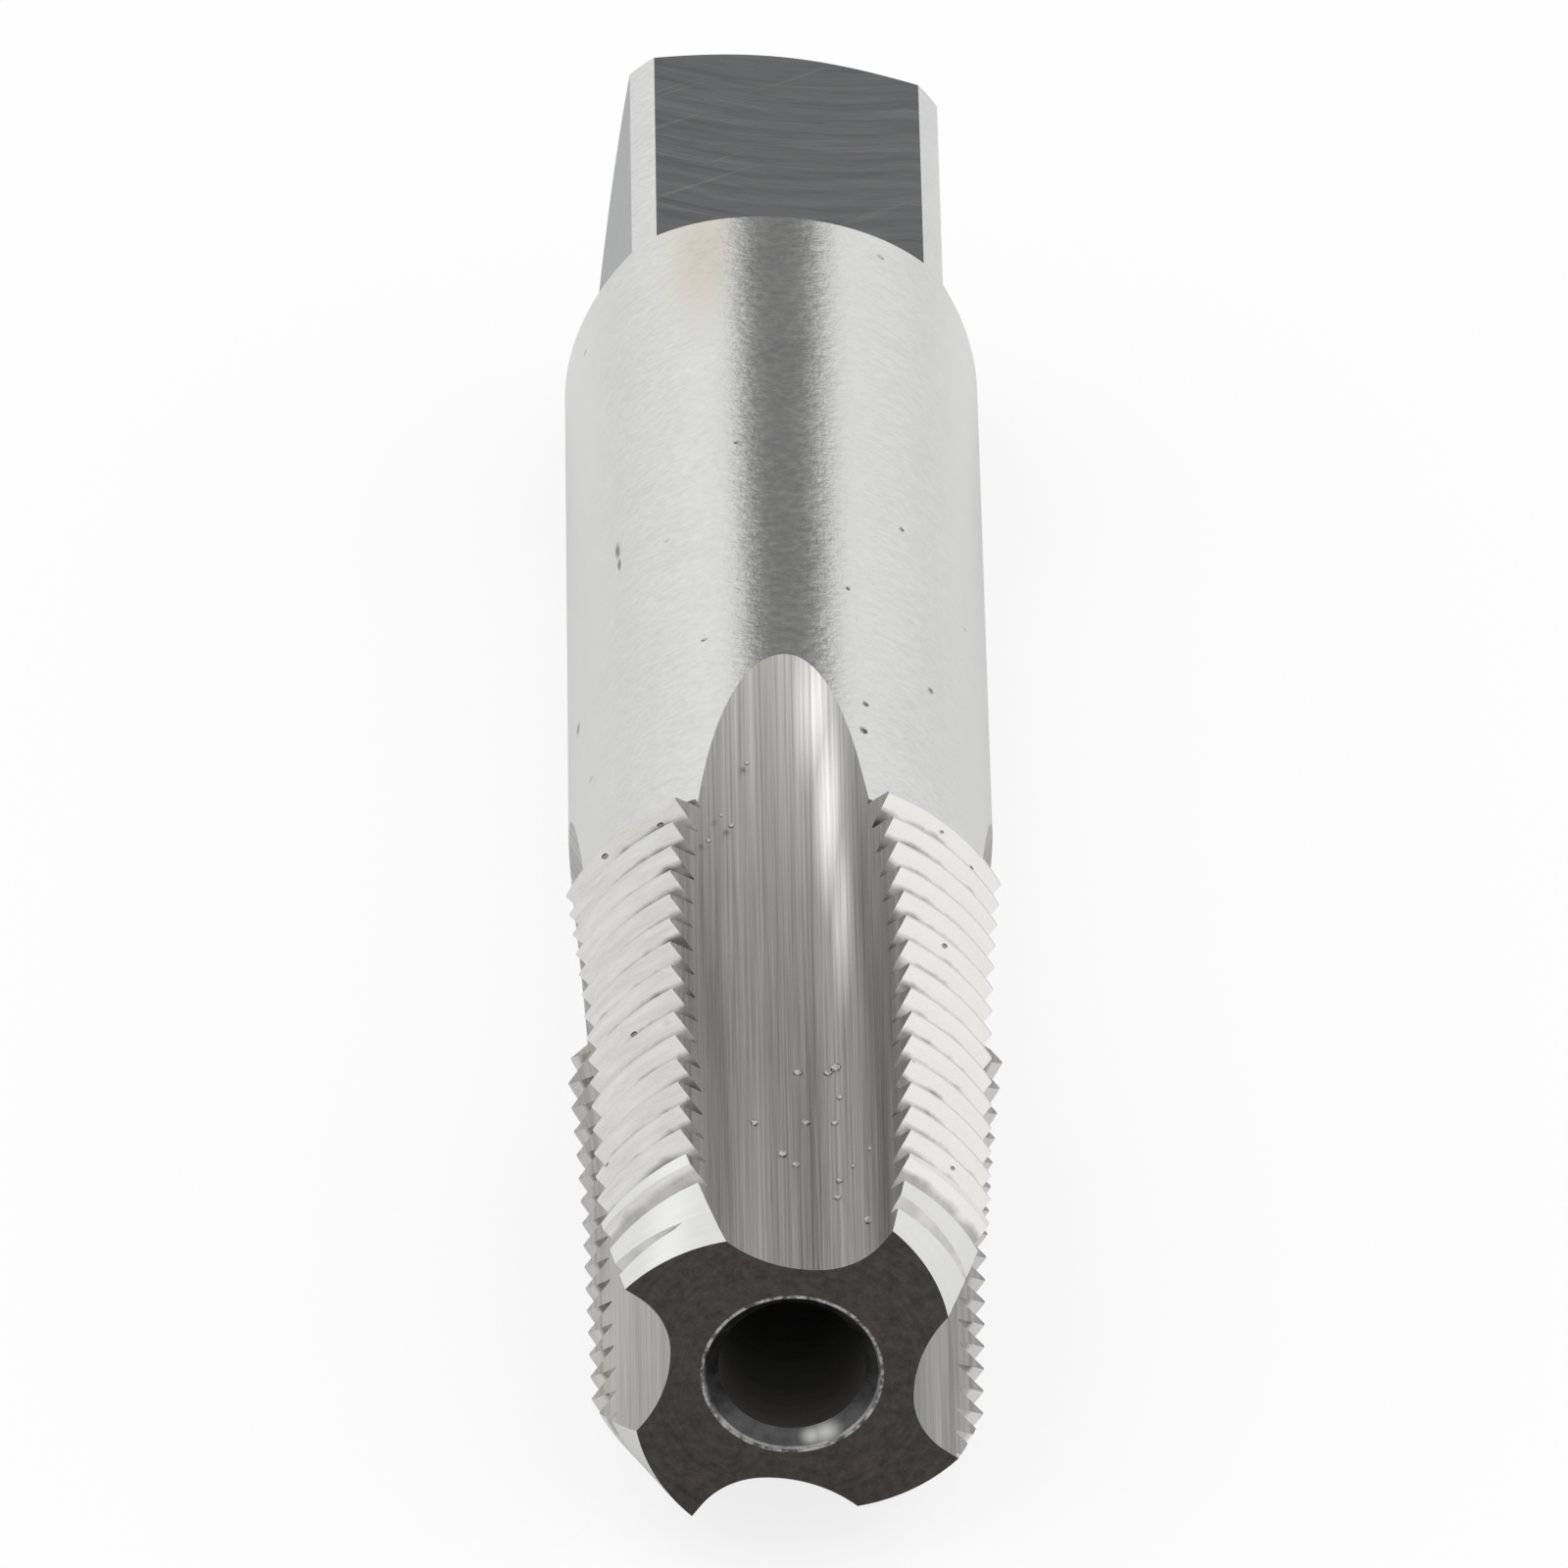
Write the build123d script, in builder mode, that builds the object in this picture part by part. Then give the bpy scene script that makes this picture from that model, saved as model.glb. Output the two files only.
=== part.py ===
from build123d import *
from math import acos, atan, ceil, cos, degrees, radians, sin, sqrt, tan
import os

# A right-hand taper pipe tap, ground from one bar of high-speed steel.
# It is shaped about the Y axis, its cutting end at y = 0 and facing -Y, with flutes that
# look up, down, left and right, and is laid on its side last. Angles around the axis run
# clockwise from straight up, as seen from the cutting end.

# Blank
overall_length = 77.8
shank_diameter = 14.0
tail_face_diameter = 9.6
tail_chamfer_length = 1.3

# Thread: 18 turns an inch, 60 degree form, taper 1 in 16 on the diameter
inch = 25.4
turns_per_inch = 18
taper = 1 / 16
thread_length = 25.2
front_major_diameter = 14.3
thread_form_angle = 60
crest_flat = 0.12
root_flat = 0.10
thread_start_angle = 74.3
groove_end_overrun = 0.7
groove_cut_angle = 12.0
groove_cut_sweep = 66.0

# Flutes
flute_count = 4
core_radius = 3.87
flute_floor_offset = 1.01
heel_floor_radius = 4.52
heel_wall_slope = 46.9
rake_floor_radius = 2.50
rake_wall_slope = 53.0
flute_full_depth_length = 12.2
wheel_radius = 75.9
wheel_skew = 1.6

# Entry chamfer, relieved from each cutting edge back to the heel of its land
entry_chamfer_length = 3.65
cutting_edge_radius = 6.2
heel_radius = 5.4
cutting_edge_angle = 33.0
heel_angle = 68.5

# Centre bore in the cutting end
bore_diameter = 4.72
bore_mouth_diameter = 5.66
bore_mouth_depth = 0.55
bore_depth = 12.0
drill_point_angle = 118

# Driving square, its flats milled by a cutter that stands square to each flat
square_size = 10.62
square_length = 14.6
square_turn = 8.2
square_cutter_diameter = 26.0

# Turn about its own axis in which the finished tap comes to rest on two of its lands
rest_turn = 0.6

# Distances that cutting shapes run past the metal
clearance = 1.0
notch_overcut = 0.25

# Worked-out sizes
thread_pitch = inch / turns_per_inch
slope = taper / 2
shank_radius = shank_diameter / 2
front_major_radius = front_major_diameter / 2
back_major_radius = front_major_radius + slope * thread_length
groove_width = thread_pitch - crest_flat
groove_depth = (groove_width - root_flat) / 2 / tan(radians(thread_form_angle / 2))
land_pitch = 360 / flute_count


# Blank: one turned outline spun about the axis
with BuildPart() as tap:
    with BuildSketch(Plane.XY) as blank_outline:
        with BuildLine():
            Polyline(
                (0, 0),
                (front_major_radius, 0),
                (back_major_radius, thread_length),
                (shank_radius, thread_length),
                (shank_radius, overall_length - tail_chamfer_length),
                (tail_face_diameter / 2, overall_length),
                (0, overall_length),
                close=True,
            )
        make_face()
    revolve(axis=Axis.Y)


# Flute: a hooked hollow, straight from the front and lifted out by the grinding wheel,
# which stands a little askew to the tap
skew = radians(wheel_skew)
flute_end_plane = Plane(
    origin=(0, flute_full_depth_length, 0),
    x_dir=(cos(skew), sin(skew), 0),
    z_dir=(sin(skew), -cos(skew), 0),
)
wheel_axis = Axis((0, flute_full_depth_length, core_radius + wheel_radius), flute_end_plane.x_dir)
lift = shank_radius - core_radius + clearance
wheel_arc = degrees(acos(1 - lift / wheel_radius))
wall_length = back_major_radius - core_radius + clearance
with BuildPart() as flute_cutter:
    with BuildSketch(flute_end_plane) as flute_profile:
        with BuildLine():
            floor = (flute_floor_offset, core_radius)
            heel_floor = JernArc(floor, (-1, 0), heel_floor_radius, -heel_wall_slope)
            heel_wall = PolarLine(heel_floor @ 1, wall_length, direction=heel_floor % 1)
            rake_floor = JernArc(floor, (1, 0), rake_floor_radius, rake_wall_slope)
            rake_wall = PolarLine(rake_floor @ 1, wall_length, direction=rake_floor % 1)
            Line(heel_wall @ 1, rake_wall @ 1)
        make_face()
    extrude(amount=flute_full_depth_length + clearance, dir=(0, -1, 0))
    revolve(flute_profile.sketch, axis=wheel_axis, revolution_arc=wheel_arc)

with tap:
    for land in range(flute_count):
        add(flute_cutter.part, rotation=(0, land * land_pitch, 0), mode=Mode.SUBTRACT)


# Thread groove: a 60 degree notch carried round the cone on a right-hand helix. Each turn is
# cut land by land, in short lengths that start and end in the hollows of two flutes
cone_angle = atan(slope)
groove_cutters = []
for land in range(flute_count):
    cut_start_angle = groove_cut_angle + land * land_pitch
    first_cut = thread_pitch * ((cut_start_angle - thread_start_angle) / 360 % 1 - 1)
    turn_count = ceil((thread_length + groove_end_overrun - first_cut) / thread_pitch)
    for turn in range(turn_count):
        cut_start = first_cut + turn * thread_pitch
        with BuildLine() as groove_path:
            Helix(
                pitch=thread_pitch / cos(cone_angle),
                height=thread_pitch * groove_cut_sweep / 360,
                radius=front_major_radius + slope * cut_start,
                center=(0, cut_start, 0),
                direction=(0, 1, 0),
                cone_angle=degrees(cone_angle),
            )
        path_start = groove_path.line @ 0
        outward = (path_start - Vector(0, cut_start, 0)).normalized()
        notch_plane = Plane(
            origin=path_start,
            x_dir=outward,
            z_dir=outward.cross(Vector(0, 1, 0)),
        )
        with BuildPart() as groove_cutter:
            with BuildSketch(notch_plane) as notch:
                with BuildLine():
                    Polyline(
                        (-groove_depth, -root_flat / 2),
                        (0, -groove_width / 2),
                        (notch_overcut, -groove_width / 2),
                        (notch_overcut, groove_width / 2),
                        (0, groove_width / 2),
                        (-groove_depth, root_flat / 2),
                        close=True,
                    )
                make_face()
            sweep(path=groove_path.line, is_frenet=True)
        groove_cutters.append(groove_cutter.part.rotate(Axis.Y, cut_start_angle))

with tap:
    add(groove_cutters, mode=Mode.SUBTRACT)


# Entry chamfer of one land: all that lies outside a cone that starts off centre at the
# front, which lowers the heel, and is true with the tap where the chamfer ends
half_land = radians(heel_angle - cutting_edge_angle) / 2
eccentricity = (cutting_edge_radius - heel_radius) / 2 / sin(half_land)
mid_land_radius = (cutting_edge_radius + heel_radius) / 2
cone_front_radius = sqrt(mid_land_radius ** 2 + (eccentricity * cos(half_land)) ** 2)
cone_back_radius = front_major_radius + slope * entry_chamfer_length
shift_angle = radians((cutting_edge_angle + heel_angle) / 2 - 90)
overrun = 1 + clearance / entry_chamfer_length
cone_nose_radius = cone_back_radius - (cone_back_radius - cone_front_radius) * overrun
nose_plane = Plane(
    origin=(
        eccentricity * overrun * sin(shift_angle),
        -clearance,
        eccentricity * overrun * cos(shift_angle),
    ),
    x_dir=(1, 0, 0),
    z_dir=(0, -1, 0),
)
sector_radius = back_major_radius + clearance
sector_half_angle = land_pitch / 2 - 1
sector_start_angle = 90 - (cutting_edge_angle + heel_angle) / 2 - sector_half_angle
with BuildPart() as relief_cutter:
    with BuildSketch(Plane.XZ.offset(clearance)) as land_sector:
        with BuildLine():
            rim = CenterArc((0, 0), sector_radius, sector_start_angle, 2 * sector_half_angle)
            Line((0, 0), rim @ 0)
            Line((0, 0), rim @ 1)
        make_face()
    extrude(amount=-(clearance + entry_chamfer_length))
    with BuildSketch(nose_plane) as cone_nose:
        Circle(cone_nose_radius)
    with BuildSketch(Plane.XZ.offset(-entry_chamfer_length)) as cone_back:
        Circle(cone_back_radius)
    loft(sections=[cone_nose.sketch, cone_back.sketch], mode=Mode.SUBTRACT)

with tap:
    for land in range(flute_count):
        add(relief_cutter.part, rotation=(0, land * land_pitch, 0), mode=Mode.SUBTRACT)


# Centre bore with its countersunk mouth and drill point
bore_radius = bore_diameter / 2
mouth_radius = bore_mouth_diameter / 2
drill_point_length = bore_radius / tan(radians(drill_point_angle / 2))
with tap:
    with BuildSketch(Plane.XY) as bore_outline:
        with BuildLine():
            Polyline(
                (0, 0),
                (mouth_radius, 0),
                (bore_radius, bore_mouth_depth),
                (bore_radius, bore_depth),
                (0, bore_depth + drill_point_length),
                close=True,
            )
        make_face()
    revolve(axis=Axis.Y, mode=Mode.SUBTRACT)


# Driving square: four flats, each with the round shoulder that its cutter leaves
cutter_radius = square_cutter_diameter / 2
cutter_centre = overall_length - square_length + cutter_radius
with tap:
    for side in range(4):
        turn = radians(square_turn + side * 90)
        flat_plane = Plane(
            origin=(
                square_size / 2 * sin(turn),
                cutter_centre,
                square_size / 2 * cos(turn),
            ),
            x_dir=(0, 1, 0),
            z_dir=(sin(turn), 0, cos(turn)),
        )
        with BuildSketch(flat_plane):
            Circle(cutter_radius)
        extrude(amount=shank_radius, mode=Mode.SUBTRACT)

# The finished tap as it comes to rest, on the lowest teeth of two lands: the flat that it
# lies on is z = 0, and the origin is under the middle of its length
resting_tap = tap.part.rotate(Axis.Y, -rest_turn)
lowest_tooth = resting_tap.vertices().sort_by(Axis.Z)[0]
with BuildPart() as pipe_tap:
    add(resting_tap.moved(Location((0, -overall_length / 2, -lowest_tooth.Z))))

pipe_tap.part.label = "pipe_tap"

os.makedirs("parts", exist_ok=True)
export_step(pipe_tap.part, "parts/pipe_tap.step")
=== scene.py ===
import bpy
from math import acos, cos, pi, radians, sin, sqrt, tan
from mathutils import Matrix, Vector


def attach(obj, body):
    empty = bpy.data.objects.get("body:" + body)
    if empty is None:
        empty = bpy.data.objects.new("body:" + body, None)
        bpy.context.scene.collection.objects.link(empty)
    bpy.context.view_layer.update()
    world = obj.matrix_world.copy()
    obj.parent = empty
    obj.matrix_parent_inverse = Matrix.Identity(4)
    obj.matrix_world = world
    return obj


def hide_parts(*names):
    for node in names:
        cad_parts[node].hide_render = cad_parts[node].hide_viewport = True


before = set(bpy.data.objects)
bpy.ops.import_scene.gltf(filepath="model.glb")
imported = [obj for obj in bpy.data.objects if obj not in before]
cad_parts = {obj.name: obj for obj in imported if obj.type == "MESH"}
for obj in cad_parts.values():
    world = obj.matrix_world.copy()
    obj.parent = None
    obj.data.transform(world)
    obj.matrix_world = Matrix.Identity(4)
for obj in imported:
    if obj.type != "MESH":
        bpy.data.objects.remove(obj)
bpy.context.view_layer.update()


# Turned blank: one round bar of high-speed steel, turned to a taper at the thread, a plain
# shank and a chamfered tail, and ground bright all round. The front end is left dark from
# the furnace. It is drawn about the Y axis, front end at y = 0, and laid down last.
mm = 0.001
micron = 0.000001
overall_length = 77.8
shank_radius = 7.0
tail_radius = 4.8
tail_chamfer = 1.3
thread_length = 25.2
front_radius = 7.15
taper_slope = 1 / 32
thread_shoulder = 0.001
blank_facets = 360
front_facing_below = -0.9
back_radius = front_radius + taper_slope * thread_length
# height of the axis when the finished tap lies on the table
axis_height = 7.1636


def fill(tree, socket, value):
    """Link the value to the socket, or set it there where it is plain."""
    if isinstance(value, bpy.types.NodeSocket):
        tree.links.new(value, socket)
    else:
        socket.default_value = value


def wire(tree, kind, settings=None, **wanted):
    """Add a node, set it up, and give each socket that is named a value or a link."""
    node = tree.nodes.new(kind)
    for key, value in (settings or {}).items():
        setattr(node, key, value)
    for label, value in wanted.items():
        socket = next(s for s in node.inputs if s.enabled and s.name.lower().replace(" ", "_") == label)
        fill(tree, socket, value)
    return node


def sum_of(tree, operation, *terms, kind="ShaderNodeMath"):
    """A sum with up to three terms, each a value or a link."""
    node = wire(tree, kind, {"operation": operation})
    for socket, term in zip(node.inputs, terms):
        fill(tree, socket, term)
    return node.outputs[0]


def split(tree, place):
    """The X, Y and Z of a place."""
    return wire(tree, "ShaderNodeSeparateXYZ", vector=place).outputs


def shop_tree(name, kind, inputs, outputs):
    """A node tree with named inputs and outputs; gives the tree and both ends of it."""
    tree = bpy.data.node_groups.new(name, kind)
    for direction, sockets in (("INPUT", inputs), ("OUTPUT", outputs)):
        for label, socket_type in sockets.items():
            tree.interface.new_socket(label, in_out=direction, socket_type="NodeSocket" + socket_type)
    return tree, tree.nodes.new("NodeGroupInput").outputs, tree.nodes.new("NodeGroupOutput").inputs


def shop_step(name, sizes):
    """A geometry tree for one step of the work on the tap."""
    inputs = {"Geometry": "Geometry", **sizes}
    return shop_tree(name, "GeometryNodeTree", inputs, {"Geometry": "Geometry"})


def work(piece, step, values):
    """Run the step on the piece with these values."""
    modifier = piece.modifiers.new(step.name, "NODES")
    modifier.node_group = step
    for item in step.interface.items_tree:
        if item.in_out == "INPUT" and item.name in values:
            modifier[item.identifier] = values[item.name]


def scribed(name, points, radii=None, closed=False):
    """A line of edges through points in mm, with the turned radius at each if there is one."""
    mesh = bpy.data.meshes.new(name)
    edges = [(i, i + 1) for i in range(len(points) - 1)]
    if closed:
        edges.append((len(points) - 1, 0))
    mesh.from_pydata([[c * mm for c in point] for point in points], edges, [])
    if radii:
        turned_radius = mesh.attributes.new("turned_radius", "FLOAT", "POINT")
        turned_radius.data.foreach_set("value", [r * mm for r in radii])
    line = bpy.data.objects.new(name, mesh)
    bpy.context.scene.collection.objects.link(line)
    return line


def turned_radius_at(tree):
    """The turned radius that each point of a scribed line carries."""
    return wire(tree, "GeometryNodeInputNamedAttribute", {"data_type": "FLOAT"},
                name="turned_radius").outputs[0]


def level_curve(tree, curve):
    """The curve with its normals level, so that what is swept along it doesn't twist."""
    return wire(tree, "GeometryNodeSetCurveNormal", {"mode": "Z_UP"}, curve=curve).outputs[0]


def round_profile(tree, facets, radius=1.0):
    return wire(tree, "GeometryNodeCurvePrimitiveCircle", resolution=facets, radius=radius).outputs[0]


def swept(tree, path, profile, **more):
    """A closed solid, made by sweeping the profile along the path."""
    return wire(tree, "GeometryNodeCurveToMesh", curve=path, profile_curve=profile, fill_caps=True,
                **more).outputs[0]


def turned(tree, line, facets):
    """A solid turned about the line, to the radius that each of its points carries."""
    rail = level_curve(tree, wire(tree, "GeometryNodeMeshToCurve", mesh=line).outputs[0])
    return swept(tree, rail, round_profile(tree, facets), scale=turned_radius_at(tree))


def coated(tree, geometry, material):
    return wire(tree, "GeometryNodeSetMaterial", geometry=geometry, material=material).outputs[0]


def finish(name, metallic=1.0):
    """A new finish; gives its material, its tree, its shader and the place on the piece."""
    material = bpy.data.materials.new(name)
    material.use_nodes = True
    tree = material.node_tree
    shader = tree.nodes["Principled BSDF"]
    shader.inputs["Metallic"].default_value = metallic
    place = tree.nodes.new("ShaderNodeTexCoord").outputs["Object"]
    return material, tree, shader, place


def shade_group(tree, group, **wanted):
    return wire(tree, "ShaderNodeGroup", {"node_tree": group}, **wanted).outputs


def noise(tree, place, scale, **more):
    return wire(tree, "ShaderNodeTexNoise", vector=place, scale=scale, **more).outputs[0]


def stretched(tree, place, lines_to_the_mm):
    """The place on a lay that has this many lines to the millimetre along X, Y and Z."""
    return wire(tree, "ShaderNodeMapping", vector=place, scale=[n / mm for n in lines_to_the_mm]).outputs[0]


def spread(tree, value, low=0.3, high=0.7, to_low=0.0, to_high=1.0):
    """The value between low and high, as a noise mostly is, stretched to run from to_low to to_high."""
    return wire(tree, "ShaderNodeMapRange", value=value, from_min=low, from_max=high, to_min=to_low,
                to_max=to_high).outputs[0]


def faded(tree, value, full, gone):
    """1 up to the full value and 0 from the gone one on, with a soft change between."""
    return wire(tree, "ShaderNodeMapRange", {"interpolation_type": "SMOOTHSTEP"}, value=value,
                from_min=full, from_max=gone, to_min=1.0, to_max=0.0).outputs[0]


def tinted(tree, share, base, tone):
    """The base shade, changed to the tone where the share is 1; each is a link or three numbers."""
    base, tone = [shade if isinstance(shade, bpy.types.NodeSocket) else (*shade, 1) for shade in (base, tone)]
    return wire(tree, "ShaderNodeMix", {"data_type": "RGBA"}, factor=share, a=base, b=tone).outputs["Result"]


def coloured(tree, shader, shade):
    tree.links.new(shade, shader.inputs["Base Color"])


def roughened(tree, shader, lay, smooth, rough):
    """Roughness that follows the lay, from its smooth places to its rough ones."""
    tree.links.new(spread(tree, lay, to_low=smooth, to_high=rough), shader.inputs["Roughness"])


def raised(tree, shader, height, microns, under=None):
    """Relief this many microns high, over the relief under it if there is one."""
    bump = wire(tree, "ShaderNodeBump", height=height, strength=1.0, distance=microns * micron)
    if under is not None:
        tree.links.new(under, bump.inputs["Normal"])
    tree.links.new(bump.outputs[0], shader.inputs["Normal"])
    return bump.outputs[0]


# the lines that a wheel or a tool leaves: fine ones over broad ones
broad_line_scale = 0.21
lay_lines, given, made = shop_tree("lay_lines", "ShaderNodeTree", {"Lay": "Vector", "Broad share": "Float"},
                                   {"Height": "Float"})
fine = noise(lay_lines, given["Lay"], 1.0, detail=3.0, roughness=0.65)
broad = noise(lay_lines, given["Lay"], broad_line_scale, detail=2.0, roughness=0.5)
lay_lines.links.new(wire(lay_lines, "ShaderNodeMix", factor=given["Broad share"], a=fine, b=broad).outputs[0],
                    made["Height"])

# one mark at a known place: 1 in its middle, 0 past its reach
one_mark, given, made = shop_tree("one_mark", "ShaderNodeTree", {
    "Place": "Vector", "Middle": "Vector", "Reach": "Vector"}, {"Mark": "Float"})
off_middle = sum_of(one_mark, "SUBTRACT", given["Place"], given["Middle"], kind="ShaderNodeVectorMath")
part_of_reach = sum_of(one_mark, "DIVIDE", off_middle, given["Reach"], kind="ShaderNodeVectorMath")
span = wire(one_mark, "ShaderNodeVectorMath", {"operation": "LENGTH"}, vector=part_of_reach).outputs["Value"]
one_mark.links.new(faded(one_mark, span, 0.0, 1.0), made["Mark"])

# how far a place is from the axis of the tap, which lies level along Y
off_axis, given, made = shop_tree("off_axis", "ShaderNodeTree", {"Place": "Vector", "Axis height": "Float"},
                                  {"Radius": "Float"})
x, _, z = split(off_axis, given["Place"])
rise = sum_of(off_axis, "SUBTRACT", z, given["Axis height"])
radius_squared = sum_of(off_axis, "MULTIPLY_ADD", rise, rise, sum_of(off_axis, "MULTIPLY", x, x))
off_axis.links.new(sum_of(off_axis, "SQRT", radius_squared), made["Radius"])

# scattered pits and specks of dirt: a share of the cells holds one, full over its inner part
pit_inner_part = 0.5
pits, given, made = shop_tree("pits", "ShaderNodeTree", {"Lay": "Vector", "Share": "Float", "Size": "Float"},
                              {"Pit": "Float"})
cells = wire(pits, "ShaderNodeTexVoronoi", vector=given["Lay"], scale=1.0).outputs
lot = wire(pits, "ShaderNodeSeparateColor", color=cells["Color"]).outputs[0]
chosen = sum_of(pits, "LESS_THAN", lot, given["Share"])
pit_floor = sum_of(pits, "MULTIPLY", given["Size"], pit_inner_part)
near = faded(pits, cells["Distance"], pit_floor, given["Size"])
pits.links.new(sum_of(pits, "MULTIPLY", chosen, near), made["Pit"])


def marks(tree, place, middles_and_reaches):
    """All the marks as one mask; each has its middle, and its reach along X, Y and Z, in mm."""
    mask = 0.0
    for middle, reach in middles_and_reaches:
        mark = shade_group(tree, one_mark, place=place, middle=[c * mm for c in middle],
                           reach=[c * mm for c in reach])["Mark"]
        mask = sum_of(tree, "MAXIMUM", mark, mask)
    return mask


# ground steel: a fine mottle, tinted by heat near the square, with small pits and old nicks
ground_lay = (2.4, 3.0, 2.4)
ground_shades = (0.55, 0.555, 0.54), (0.64, 0.645, 0.625)
heat_tint = [((-2.35, 22.5, 13.7), (1.75, 7.5, 1.7))]
heat_shade = (0.50, 0.43, 0.345)
pit_lay = (0.8, 0.8, 0.8)
pit_strength = 0.45
pit_shade = (0.28, 0.27, 0.26)
shank_nicks = [((-5.27, 5.9, 11.78), (0.12, 0.75, 0.3)), ((-5.22, 4.9, 11.83), (0.09, 0.6, 0.3)),
               ((-6.64, -1.7, 9.38), (0.2, 0.5, 0.22)), ((2.72, -9.22, 13.61), (0.17, 0.28, 0.2)),
               ((2.81, -7.44, 13.57), (0.13, 0.2, 0.2)), ((5.01, -4.05, 12.05), (0.15, 0.25, 0.2)),
               ((4.19, 5.41, 12.77), (0.1, 0.18, 0.2)), ((2.33, -0.17, 13.77), (0.1, 0.16, 0.2))]
nick_shade = (0.10, 0.10, 0.10)

ground_steel, tree, shader, place = finish("ground_steel")
lay = shade_group(tree, lay_lines, lay=stretched(tree, place, ground_lay), broad_share=0.25)["Height"]
steel_shade = tinted(tree, spread(tree, lay), *ground_shades)
burnt = sum_of(tree, "MULTIPLY", marks(tree, place, heat_tint), spread(tree, lay, to_low=0.35))
steel_shade = tinted(tree, burnt, steel_shade, heat_shade)
pit = shade_group(tree, pits, lay=stretched(tree, place, pit_lay), share=0.10, size=0.12)["Pit"]
steel_shade = tinted(tree, sum_of(tree, "MULTIPLY", pit, pit_strength), steel_shade, pit_shade)
nick = marks(tree, place, shank_nicks)
coloured(tree, shader, tinted(tree, nick, steel_shade, nick_shade))
roughened(tree, shader, lay, smooth=0.18, rough=0.26)
whole = sum_of(tree, "SUBTRACT", 1.0, sum_of(tree, "MAXIMUM", nick, pit))
sunk = raised(tree, shader, whole, microns=60.0)
raised(tree, shader, lay, microns=22.0, under=sunk)

# dark end: scale from the furnace over faint turning rings, and a bright broken burr that the
# countersink has left round the mouth of the bore
end_grain = 3
end_rings = 6
end_patches = 2.4
ring_share = 0.18
end_shades = (0.010, 0.0085, 0.0075), (0.056, 0.049, 0.044)
burr_radius = 2.885
burr_width = 0.075
burr_inner_width = burr_width * 0.4
burr_shade = (0.40, 0.39, 0.38)

dark_end, tree, shader, place = finish("dark_end", metallic=0.4)
radius = shade_group(tree, off_axis, place=place, axis_height=axis_height * mm)["Radius"]
grain = noise(tree, place, end_grain / mm, detail=5.0, roughness=0.75)
rings = wire(tree, "ShaderNodeTexNoise", {"noise_dimensions": "1D"}, w=radius, scale=end_rings / mm,
             detail=2.0).outputs[0]
scale_share = sum_of(tree, "MULTIPLY_ADD", spread(tree, rings), ring_share,
                     sum_of(tree, "MULTIPLY", spread(tree, grain), 1 - ring_share))
off_burr = sum_of(tree, "ABSOLUTE", sum_of(tree, "SUBTRACT", radius, burr_radius * mm))
patches = noise(tree, place, end_patches / mm, detail=4.0, roughness=0.7)
burr = sum_of(tree, "MULTIPLY", spread(tree, off_burr, burr_width * mm, burr_inner_width * mm),
              spread(tree, patches, 0.42, 0.58, to_low=0.08))
coloured(tree, shader, tinted(tree, burr, tinted(tree, scale_share, *end_shades), burr_shade))
roughened(tree, shader, grain, smooth=0.42, rough=0.58)
raised(tree, shader, sum_of(tree, "ADD", grain, burr), microns=8.0)

tap = scribed(
    "pipe_tap_ground",
    [(0, 0, 0), (0, thread_length, 0), (0, thread_length + thread_shoulder, 0),
     (0, overall_length - tail_chamfer, 0), (0, overall_length, 0)],
    [front_radius, back_radius, shank_radius, shank_radius, tail_radius])
step, given, made = shop_step("blank_turning", {
    "Facets": "Int", "Ground finish": "Material", "End finish": "Material"})
bar = coated(step, turned(step, given["Geometry"], given["Facets"]), given["Ground finish"])
facing = split(step, step.nodes.new("GeometryNodeInputNormal").outputs[0])["Y"]
bar = wire(step, "GeometryNodeSetMaterial", geometry=bar, material=given["End finish"],
           selection=sum_of(step, "LESS_THAN", facing, front_facing_below)).outputs[0]
step.links.new(bar, made["Geometry"])
work(tap, step, {"Facets": blank_facets, "Ground finish": ground_steel, "End finish": dark_end})


# Flutes: four hooked hollows, ground straight from the front and lifted out by a wheel that
# stands a little askew. The wheel leaves lines that run the length of each flute. The flutes
# are coloured darker towards the front and lighter in the left one, and the top one carries a
# bright streak of painted reflection.
flute_count = 4
core_radius = 3.87
flute_floor_offset = 1.01
heel_floor_radius = 4.52
heel_wall_slope = 46.9
rake_floor_radius = 2.50
rake_wall_slope = 53.0
flute_full_depth_length = 12.2
wheel_radius = 75.9
wheel_skew = 1.6
floor_facets = 32
wheel_facets = 64
join_gap = 0.001
overcut = 1.0


def minus(tree, value):
    return sum_of(tree, "MULTIPLY", value, -1.0)


def point_at(tree, x=0.0, y=0.0, z=0.0):
    return wire(tree, "ShaderNodeCombineXYZ", x=x, y=y, z=z).outputs[0]


def geometry_of(tree, line):
    return wire(tree, "GeometryNodeObjectInfo", object=line).outputs["Geometry"]


def straight_line(tree, start, end):
    return wire(tree, "GeometryNodeCurvePrimitiveLine", {"mode": "POINTS"}, start=start, end=end).outputs[0]


def moved(tree, geometry, **how):
    """The geometry, turned by its rotation and then shifted by its translation."""
    return wire(tree, "GeometryNodeTransform", geometry=geometry, **how).outputs[0]


def cut_away(tree, stock, tools):
    """The stock with the tools cut out of it; each cut face keeps its tool's finish."""
    cut = wire(tree, "GeometryNodeMeshBoolean", {"operation": "DIFFERENCE", "solver": "MANIFOLD"})
    tree.links.new(stock, cut.inputs["Mesh 1"])
    for tool in tools:
        tree.links.new(tool, cut.inputs["Mesh 2"])
    return cut.outputs[0]


def indexed(tree, tool, count):
    """The tool at equal steps around the axis, as the dividing head sets it."""
    return [moved(tree, tool, rotation=(0, 2 * pi * number / count, 0)) for number in range(count)]


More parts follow.
